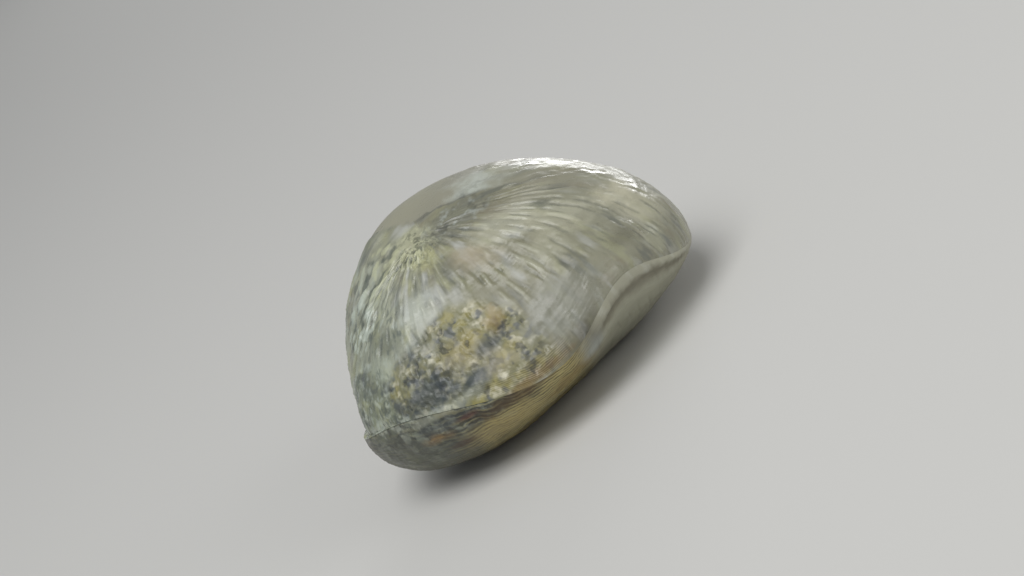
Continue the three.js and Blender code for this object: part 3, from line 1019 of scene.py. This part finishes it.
# %% Dome stains
upper.stain([  # tint, strength, centre, reach, raggedness, softness
    # cream on the right flank
    ((190, 189, 168), 0.55, (2.8, -3.6, 10.6), (2.2, 1.4, 1.4), 0.7, 0.5),
    ((188, 186, 164), 0.5, (5.2, -4.8, 9.1), (2.2, 1.2, 1.4), 0.7, 0.5),
    ((186, 183, 160), 0.6, (9.2, -4.2, 6.4), (1.6, 1.2, 1.7), 0.8, 0.5),
    ((196, 192, 168), 0.7, (8.5, -3.5, 7.6), (1.6, 1.0, 0.9), 0.9, 0.6),
    # the tan wedge and its dark edge
    ((166, 156, 130), 0.6, (-0.3, -3.7, 10.7), (0.8, 0.7, 0.6), 0.6, 0.5),
    ((166, 155, 130), 0.65, (0.3, -4.3, 10.3), (0.8, 0.7, 0.6), 0.6, 0.5),
    ((162, 155, 132), 0.6, (0.9, -5.0, 9.8), (0.8, 0.7, 0.6), 0.6, 0.5),
    ((112, 113, 98), 0.55, (-1.3, -3.6, 10.8), (0.6, 0.8, 0.6), 0.9, 0.6),
    # yellow-green and whitish on the left, with dark between
    ((182, 182, 132), 0.55, (-1.9, -2.2, 11.6), (0.9, 1.2, 0.9), 0.9, 0.5),
    ((194, 199, 190), 0.55, (-4.1, -4.7, 10.0), (1.1, 1.4, 1.1), 1.0, 0.6),
    ((180, 186, 170), 0.4, (-6.0, 0.6, 11.3), (1.8, 1.8, 1.4), 1.0, 0.6),
    ((106, 112, 98), 0.6, (-6.8, -3.8, 9.6), (0.9, 1.4, 0.8), 1.0, 0.6),
    ((112, 112, 92), 0.5, (-3.9, -6.3, 8.8), (1.2, 0.7, 0.6), 1.0, 0.6),
    # light and dark low on the right
    ((172, 171, 148), 0.5, (3.6, -6.6, 8.5), (1.8, 0.8, 0.8), 0.9, 0.6),
    ((104, 102, 84), 0.5, (7.3, -6.6, 6.2), (1.1, 0.8, 0.7), 0.8, 0.6),
    ((172, 172, 148), 0.55, (8.7, -6.2, 4.8), (0.8, 0.8, 0.6), 0.8, 0.6),
    # round the place where the ribs start, and broad faint shades
    ((186, 187, 156), 0.6, (-2.2, -0.4, 12.3), (1.4, 1.2, 1.0), 1.2, 0.5),
    ((122, 116, 98), 0.3, (6.4, -1.6, 10.2), (3.6, 1.2, 1.4), 0.8, 0.5),
    ((124, 131, 119), 0.4, (-7.6, -1.4, 9.8), (1.6, 2.4, 1.6), 1.0, 0.6),
    ((130, 128, 104), 0.35, (-0.8, -6.0, 9.0), (2.0, 1.2, 1.0), 1.0, 0.6),
    ((168, 166, 148), 0.4, (5.1, -2.4, 10.5), (1.8, 0.8, 0.7), 1.0, 0.6),
    ((122, 116, 98), 0.3, (2.6, -2.2, 11.3), (1.6, 0.8, 0.8), 0.8, 0.5),
])

# %% [markdown]
# ## The crumbly front
# Low down in front the dome breaks up into ochre, cream and blue-grey grains, and a crust covers its
# left. A photograph of rock would bring its own light with it. The grain group makes a mosaic
# instead, and patches then give the mixture its blue, ochre and rusty places. Beside the margin
# thin lines run through it.

# %% Crumbly front
upper.crust(grains, crusty.smooth(0.1, 0.9) * 0.85)
mosaic = glazed(
    upper.tree, (128, 126, 92),
    ((150, 142, 82), grains["Warm"].smooth(0.46, 0.66) * 0.85),
    ((200, 195, 168), grains["Light"].smooth(0.5, 0.7) * 0.9),
    ((70, 76, 78), grains["Dark"].smooth(0.5, 0.66) * 0.9),
)
upper.glaze(mosaic, crumble.smooth(0.1, 0.8) * 0.88)
upper.stain([
    # ochre, then blue-grey
    ((154, 134, 86), 0.6, (-1.1, -7.5, 7.6), (0.5, 0.8, 0.8), 1.8, 0.8),
    ((154, 142, 94), 0.55, (-3.8, -7.8, 7.4), (1.5, 0.9, 1.1), 1.0, 0.6),
    ((74, 80, 84), 0.75, (-2.3, -8.2, 6.9), (0.9, 0.7, 0.5), 1.0, 0.6),
    ((60, 68, 72), 0.85, (-6.6, -7.7, 6.6), (2.0, 1.2, 1.0), 1.2, 0.6),
    ((70, 78, 78), 0.75, (-4.4, -8.7, 5.9), (1.5, 0.9, 0.6), 1.2, 0.6),
    ((104, 110, 110), 0.45, (-6.0, -6.0, 8.6), (1.6, 1.2, 0.9), 1.2, 0.6),
    # grey and green on the left
    ((92, 98, 94), 0.55, (-9.0, -3.6, 8.0), (1.1, 1.4, 0.8), 1.2, 0.6),
    ((150, 156, 128), 0.5, (-9.4, -4.2, 6.3), (1.0, 1.6, 1.0), 1.2, 0.6),
    # cream and brown near the margin, the smooth grey place on the right, rust and a whitish edge
    ((194, 184, 152), 0.35, (-2.4, -8.9, 5.9), (1.0, 0.8, 0.7), 1.4, 0.7),
    ((112, 106, 78), 0.35, (-0.3, -9.7, 4.6), (1.6, 0.7, 0.6), 0.8, 0.6),
    ((134, 135, 122), 0.75, (2.4, -8.8, 6.2), (2.6, 1.4, 1.9), 0.5, 0.4),
    ((176, 184, 166), 0.5, (-7.9, -4.5, 8.6), (0.8, 1.2, 0.7), 1.0, 0.6),
    ((120, 94, 54), 0.6, (-1.9, -9.7, 4.2), (2.4, 0.7, 0.25), 1.0, 0.6),
    ((186, 188, 168), 0.6, (-6.4, -8.2, 5.5), (2.6, 1.2, 0.3), 1.0, 0.6),
])

thread = upper.rings(110.0, 3.6, 12.0)["Thread"]
thread_zone = growth.smooth(0.955, 0.98) * upper.x.smooth(-5.0, -3.0)
thread_zone = thread_zone * upper.x.smooth(1.6, 0.4) * upper.y.smooth(-5.0, -7.0)
upper.glaze((186, 174, 140), thread.smooth(0.52, 0.8) * thread_zone * 0.3)
upper.glaze((84, 74, 52), thread.smooth(0.48, 0.2) * thread_zone * 0.38)

# %% [markdown]
# ## Painted shade and light that follow the relief
# Painted shade darkens the troughs between ribs, and the crests are rubbed pale and painted lighter as
# lit ridges. Left of the place where the ribs start, short thick yellow-green strokes have painted
# shade in the gaps between them, and the pits are painted dark as shade. The nodes could guess such
# places from the surface's slope, but the relief tree has stored them exactly.

# %% Ribs, strokes and pits
# Painted shade in the rib troughs, then the crests rubbed pale and painted lighter as lit ridges.
upper.glaze((86, 90, 84), (-rib).smooth(0.1, 0.9) * 0.34)
upper.glaze((198, 199, 176), rib.smooth(0.2, 0.9) * 0.25)
flank = left * upper.x.smooth(-3.5, -6.0) * whole
short = upper.streak(34.0, 18.0, 21.0)
upper.glaze((186, 196, 188), short.smooth(0.52, 0.66) * flank * 0.36)
upper.glaze((90, 98, 94), short.smooth(0.46, 0.34) * flank * 0.6)
paler_left = (upper.x + drift * 0.3).smooth(-4.6, -6.6)
stroke_tint = glazed(upper.tree, (190, 193, 158), ((190, 200, 188), paler_left))
upper.glaze(stroke_tint, stroke.smooth(0.01, 0.1) * 0.6)
# Painted shade in the gaps between the raised strokes.
upper.glaze((88, 95, 86), (-stroke).smooth(0.02, 0.12) * 0.75)
# Painted shade in the pits among the grains.
upper.glaze((56, 60, 62), pit.smooth(0.25, 0.9) * 0.6)

# %% [markdown]
# ## The worn top and the knob
# The top is worn smooth to a plain grey-brown, streaked on the right, with one pale blot, and painted
# shade along the step where the ribs begin. In front of it a mottled place and a yellowish knob show
# finer grains.
# A separate material would leave a hard border, so the worn colour is laid over by its mask.

# %% Worn top
worn_streak = upper.streak(7.0, 4.0, 6.0)
worn_right = upper.x.smooth(0.0, 4.0)
behind_left = (upper.y - upper.x * 0.3).smooth(0.6, 3.6) * upper.x.smooth(3.0, 0.5)
pale_blot = upper.patch((3.5, 0.7, 12.2), (1.6, 1.4, 0.8), 1.2, 0.9)
grainy = upper.patch((4.6, 0.8, 11.8), (2.6, 1.6, 1.0), 1.0, 0.7)
worn_colour = glazed(
    upper.tree, (148, 146, 129),
    ((155, 153, 133), behind_left),
    ((160, 158, 140), worn_streak.smooth(0.48, 0.66) * worn_right),
    ((119, 117, 101), worn_streak.smooth(0.46, 0.3) * worn_right * 0.8),
    ((204, 212, 204), pale_blot * 0.75),
    ((120, 122, 112), grains["Dark"].smooth(0.5, 0.66) * grainy * 0.5),
)
upper.glaze(worn_colour, worn_seen * upper.x.smooth(1.0, 6.0, 0.95, 0.55))
# Painted shade along the step at the worn top's border, where the ribs begin.
rim = (worn_seen * (1.0 - worn_seen) * 4.0).smooth(0.2, 1.0) * upper.x.smooth(4.0, 1.5)
upper.glaze((88, 89, 82), rim * upper.x.smooth(-1.8, -0.4) * 0.55)

knob = upper.patch((-1.9, -1.3, 12.0), (1.4, 1.5, 1.2), 0.8, 0.5)
fine_grains = upper.grains(0.42)
upper.glaze((204, 206, 170), fine_grains["Light"].smooth(0.5, 0.62) * knob * 0.6)
upper.glaze((92, 95, 78), fine_grains["Dark"].smooth(0.5, 0.62) * knob * 0.75)
mottled = upper.patch((0.9, -1.3, 12.0), (2.2, 1.3, 0.9), 0.9, 0.6)
upper.glaze((112, 114, 104), mottled * 0.6)
upper.glaze((182, 190, 184), grains["Light"].smooth(0.5, 0.68) * mottled * 0.45)
upper.glaze((70, 72, 66), grains["Dark"].smooth(0.52, 0.66) * mottled * 0.6)


def paint_seam_shade(stone, growth, seam):
    """Painted shade in the hollow along the seam."""
    stone.glaze((64, 62, 54), growth.smooth(0.965, 0.995) * seam.smooth(0.06, 0.2) * 0.6)


paint_seam_shade(upper, growth, seam)

# %% [markdown]
# ## The dome's finish
# The stone is half polished. It shines where it is worn and is duller in pits and among grains. The
# ribs and lumps are real geometry already, so the bump only adds streaks and grains that are
# finer than the mesh.

# %% Dome finish
fine_height = (upper.streak(16.0, 9.0, 8.0) * 0.9 + rings["Line"] * 0.5) * growth.smooth(0.04, 0.2)
fine_height = fine_height + grains["Cloud"] * 0.5 + grains["Light"] * 0.5 * crumble
dullness = grains["Cloud"].smooth(0.38, 0.62, 0.26, 0.52) + pit * 0.3 + crumble * 0.08
upper.finish(fine_height, 0.00009, dullness, coat=0.2, coat_roughness=0.22)

# %% [markdown]
# ## The lower valve's stone
# The bowl is browner on the left, and painted darker there as shade of its underside. It is ochre in
# the middle and a smooth plain grey on the right, painted paler there as light on it. Fine light and
# dark lines run round it side by side. The crust crosses over from the dome, with dashes along the
# lines in it, and is painted darker towards the bottom as shade. The same groups draw it all, with
# closer lines and browner tints, so the two valves match where they meet.

# %% Ground and lines of the bowl
lower = Stone("pedicle_stone", (162, 150, 100))
rib, crumble, crusty, pit, growth, seam, wing = lower.values(
    "rib", "crumbly", "crust", "pit", "growth", "seam", "wing"
)
grains, rings, wide_rings = lower.grains(0.7), lower.rings(110.0, 3.6, 12.0), lower.rings(22.0, 1.6, 4.0)
smooth_band = (lower.x + (grains["Cloud"] - 0.5) * 3.0).smooth(0.4, 2.6)
lined = 1.0 - smooth_band * 0.92

# Darker on the left: the bowl's browner tone together with painted shade of its underside.
lower.glaze((86, 87, 74), (lower.x + (grains["Cloud"] - 0.5) * 4.0).smooth(-4.0, -7.5))
# The plain grey band on the right, painted paler as light on its down-facing side.
lower.glaze((164, 162, 142), smooth_band)
lower.glaze((84, 80, 62), wide_rings["Line"].smooth(0.48, 0.3) * 0.6 * lined)
lower.glaze((158, 156, 128), wide_rings["Line"].smooth(0.54, 0.7) * 0.35 * lined)
lower.crust(grains, crusty.smooth(0.2, 0.9) * 0.75)
# Painted shade: the crust darker towards the bottom.
lower.glaze((60, 64, 56), crusty * lower.z.smooth(6.0, 4.0) * 0.5)
blotch = lower.noise(1.3, 3.0, 0.6)
lower.glaze((48, 54, 50), blotch.smooth(0.54, 0.42) * crusty * 0.75)
dashes = lower.rings(14.0, 1.6, 11.0)["Line"]
lower.glaze((140, 147, 132), dashes.smooth(0.54, 0.64) * blotch.smooth(0.46, 0.56) * crusty * 0.75)
lower.glaze((46, 48, 42), dashes.smooth(0.48, 0.36) * crusty * 0.7)
threaded = lined * lower.x.smooth(-8.5, -5.5, 0.35, 1.0)
lower.glaze((176, 166, 116), rings["Thread"].smooth(0.55, 0.85) * 0.4 * threaded)
lower.glaze((46, 40, 28), rings["Thread"].smooth(0.48, 0.2) * 0.66 * threaded)

# %% [markdown]
# ## Stains and the hollow of the bowl
# Rust has crept along the line where the valves meet. On the right wing a hollow runs a little below
# the margin, with painted brown shade in it, pale and faintly streaked above it and plain grey below.
# A row of patches for that painted shade would look dabbed on, so it is cut out of the way outwards,
# with noise to bend it. Painted shade also darkens the rib troughs, the pits and the seam's hollow.

# %% Bowl stains and hollow
lower.stain([  # tint, strength, centre, reach, raggedness, softness
    # grey, dark and ochre ground
    ((112, 114, 96), 0.4, (-9.3, -4.6, 3.6), (1.8, 2.2, 1.6), 1.2, 0.6),
    ((66, 70, 62), 0.4, (-10.2, -4.4, 4.8), (1.4, 2.0, 0.7), 1.4, 0.6),
    ((186, 166, 108), 0.35, (-4.6, -8.4, 2.8), (2.2, 1.4, 0.9), 1.0, 0.6),
    ((78, 60, 36), 0.75, (-3.2, -9.4, 4.0), (3.2, 1.0, 0.4), 1.2, 0.6),
    ((134, 112, 62), 0.5, (0.4, -9.0, 2.6), (1.8, 1.4, 0.5), 1.0, 0.6),
    # rust
    ((160, 124, 68), 0.7, (-7.9, -7.2, 4.2), (0.9, 0.6, 0.25), 1.6, 0.9),
    ((92, 50, 38), 0.75, (-5.7, -8.6, 4.6), (0.8, 0.5, 0.2), 0.9, 0.6),
    ((78, 48, 34), 0.75, (-7.0, -7.5, 3.1), (1.0, 0.5, 0.2), 0.9, 0.6),
    # pale on the right, then pale and dark beside the line on the left
    ((166, 174, 176), 0.5, (2.3, -8.9, 3.0), (0.9, 0.7, 1.0), 0.8, 0.6),
    ((182, 182, 156), 0.6, (9.4, -6.2, 3.9), (1.5, 1.4, 0.9), 0.7, 0.6),
    ((178, 180, 162), 0.45, (-7.4, -7.6, 5.5), (2.4, 1.6, 0.25), 1.4, 0.7),
    ((76, 82, 82), 0.55, (-7.0, -7.6, 4.9), (2.6, 1.4, 0.4), 1.4, 0.7),
    ((74, 78, 68), 0.5, (-8.6, -6.4, 3.4), (2.2, 1.8, 0.9), 1.4, 0.7),
])
hollow_at = growth + (lower.noise(0.9, 3.0, 0.6) - 0.5) * 0.03
above_hollow = hollow_at.smooth(0.978, 0.99)
hollow_shade = hollow_at.smooth(0.95, 0.976) * hollow_at.smooth(0.997, 0.978)
lower.glaze((150, 151, 133), hollow_at.smooth(0.978, 0.955) * wing * 0.5)
lower.glaze((178, 177, 158), above_hollow * wing * 0.55)
wing_streak = lower.streak(16.0, 9.0, 8.0).smooth(0.5, 0.66)
lower.glaze((200, 202, 192), wing_streak * above_hollow * wing * 0.3)
# Painted shade in the hollow on the right wing.
lower.glaze((82, 75, 56), hollow_shade * wing * 0.6)
# Painted shade in the rib troughs and in the pits.
lower.glaze((64, 64, 52), (-rib).smooth(0.1, 1.0) * 0.15)
lower.glaze((50, 46, 40), pit.smooth(0.3, 0.9) * 0.5)
paint_seam_shade(lower, growth, seam)

# %% [markdown]
# ## The bowl's finish
# The lines can be felt as well as seen, and the band on the right is smooth. The threads and dashes
# are finer than the mesh, so they stay in the bump.

# %% Bowl finish
fine_height = (rings["Thread"] * 0.6 + rings["Line"] * 0.5) * (1.0 - smooth_band * 0.85)
fine_height = fine_height + grains["Cloud"] * 0.5 + dashes * crusty * 1.5
dullness = grains["Cloud"].smooth(0.3, 0.7, 0.34, 0.55) + pit * 0.3
lower.finish(fine_height, 0.00008, dullness, coat=0.15, coat_roughness=0.2)

# %% [markdown]
# ## Raising the relief
# The tree now runs on each valve with that valve's own numbers. The result is kept as a plain
# mesh and the modifier is removed, so that the piece is what the render shows.
# The last step keeps each valve inside the imported box, and flat where it rests.

# %% Relief on both valves
bowl_numbers = {
    "Growth lines": 60.0,
    "Growth line height": 0.022,
    "Rib height": 0.015,
    "Lump height": 0.12,
}


def raise_relief(piece, inputs):
    modifier = piece.modifiers.new("relief", "NODES")
    modifier.node_group = relief
    for item in relief.interface.items_tree:
        if item.item_type == "SOCKET" and item.in_out == "INPUT" and item.name in inputs:
            modifier[item.identifier] = inputs[item.name]
    graph = bpy.context.evaluated_depsgraph_get()
    raised = piece.evaluated_get(graph)
    mesh = bpy.data.meshes.new_from_object(raised, preserve_all_data_layers=True, depsgraph=graph)
    piece.modifiers.remove(modifier)
    piece.data = mesh
    mesh.name = piece.name


def keep_inside(piece):
    points = point_array(piece) / 1000
    kept = np.clip(points, cad_low, cad_high)
    piece.data.vertices.foreach_set("co", kept.astype(np.float32).ravel())
    piece.data.update()
    spill = float(np.abs(points - kept).max()) * 1000
    print(piece.name, "reached", round(spill, 3), "mm past the packed box before it was kept inside")


raise_relief(brachial, {"Finish": upper.material})
raise_relief(pedicle, {"Finish": lower.material, **bowl_numbers})
for piece, node, slot in (
    (brachial, "brachial_valve", "brachial_stone"),
    (pedicle, "pedicle_valve", "pedicle_stone"),
):
    keep_inside(piece)
    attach(piece, "root")
    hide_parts(node)

# %% [markdown]
# ## The floor
# The shell lies on a plain pale floor, so that nothing takes the eye from it. A curved backdrop
# would do as well, but it would pale the whole back of the shell. The floor is stage, not part of
# the object, and it is wide enough to fill the picture.

# %% Floor
floor_half = 1.2
floor_corners = [(x * floor_half, y * floor_half, 0) for x, y in ((-1, -1), (1, -1), (1, 1), (-1, 1))]
floor_mesh = bpy.data.meshes.new("floor")
floor_mesh.from_pydata(floor_corners, [], [(0, 1, 2, 3)])
floor = bpy.data.objects.new("floor", floor_mesh)
bpy.context.scene.collection.objects.link(floor)
floor_paint = bpy.data.materials.new("floor_paint")
floor_paint.use_nodes = True
floor_shader = floor_paint.node_tree.nodes["Principled BSDF"].inputs
floor_shader["Base Color"].default_value = tint(205, 204, 200)
floor_shader["Roughness"].default_value = 0.9
floor_mesh.materials.append(floor_paint)
print("floor", floor_half * 2, "m wide")

# %% [markdown]
# ## Light
# One wide lamp hangs overhead, a weak one fills from the right, and a narrow one stands low behind,
# because the shell's polished back edge catches a bright line of light there. A picture of a studio
# could light it too, but three lamps are easy to move and need no file.

# %% Lamps
world = bpy.data.worlds.new("studio")
bpy.context.scene.world = world
world.use_nodes = True
sky = world.node_tree.nodes["Background"].inputs
sky["Color"].default_value = tint(225, 228, 232)
sky["Strength"].default_value = 0.35
shell_middle = (0, 0, 0.006)


def area_light(name, place, size, watts):
    lamp = bpy.data.lights.new(name, "AREA")
    lamp.shape, lamp.size, lamp.size_y, lamp.energy = "RECTANGLE", *size, watts
    holder = bpy.data.objects.new(name, lamp)
    holder.location = place
    holder.rotation_mode = "QUATERNION"
    holder.rotation_quaternion = (Vector(place) - Vector(shell_middle)).to_track_quat("Z", "Y")
    bpy.context.scene.collection.objects.link(holder)


area_light("overhead", (-0.06, -0.12, 0.32), (0.26, 0.26), 0.80)
area_light("right_fill", (0.24, -0.22, 0.12), (0.18, 0.18), 0.22)
area_light("back_edge", (0.26, 0.42, 0.085), (0.28, 0.085), 0.76)
bpy.context.scene.view_settings.view_transform = "Standard"
print("lamps", [lamp.name for lamp in bpy.data.lights])

# %% [markdown]
# ## The camera
# The photograph looks at the front margin from a little above, with the camera turned on its own
# axis so that the shell lies aslant. The numbers were found by laying the shell's outline over the
# photograph. Turning the shell instead would lift it off the floor.

# %% Camera
view_azimuth, view_elevation, view_roll = np.radians([-1.5, 17.1, 39.0])
view_distance, pixels_per_mm, image_width = 0.150, 16.95, 1024
fitted_point = Vector((*shift[:2], 6.24)) / 1000
picture_shift = (0.000702, 0.000301)  # from the fitted point to the middle of the picture

flat = np.cos(view_elevation)
back = Vector((np.sin(view_azimuth) * flat, -np.cos(view_azimuth) * flat, np.sin(view_elevation)))
level_right = Vector((np.cos(view_azimuth), np.sin(view_azimuth), 0))
level_up = back.cross(level_right)
image_right = level_right * np.cos(view_roll) - level_up * np.sin(view_roll)
image_up = level_right * np.sin(view_roll) + level_up * np.cos(view_roll)
aim = fitted_point + image_right * picture_shift[0] + image_up * picture_shift[1]
lens = bpy.data.cameras.new("camera")
lens.sensor_width = 36
lens.lens = lens.sensor_width * pixels_per_mm * view_distance * 1000 / image_width
lens.clip_start, lens.clip_end = 0.01, 10
camera = bpy.data.objects.new("camera", lens)
camera_axes = Matrix((image_right, image_up, back)).transposed().to_4x4()
camera.matrix_world = Matrix.Translation(aim + back * view_distance) @ camera_axes
bpy.context.scene.collection.objects.link(camera)
bpy.context.scene.camera = camera
print("lens", round(lens.lens, 1), "mm")
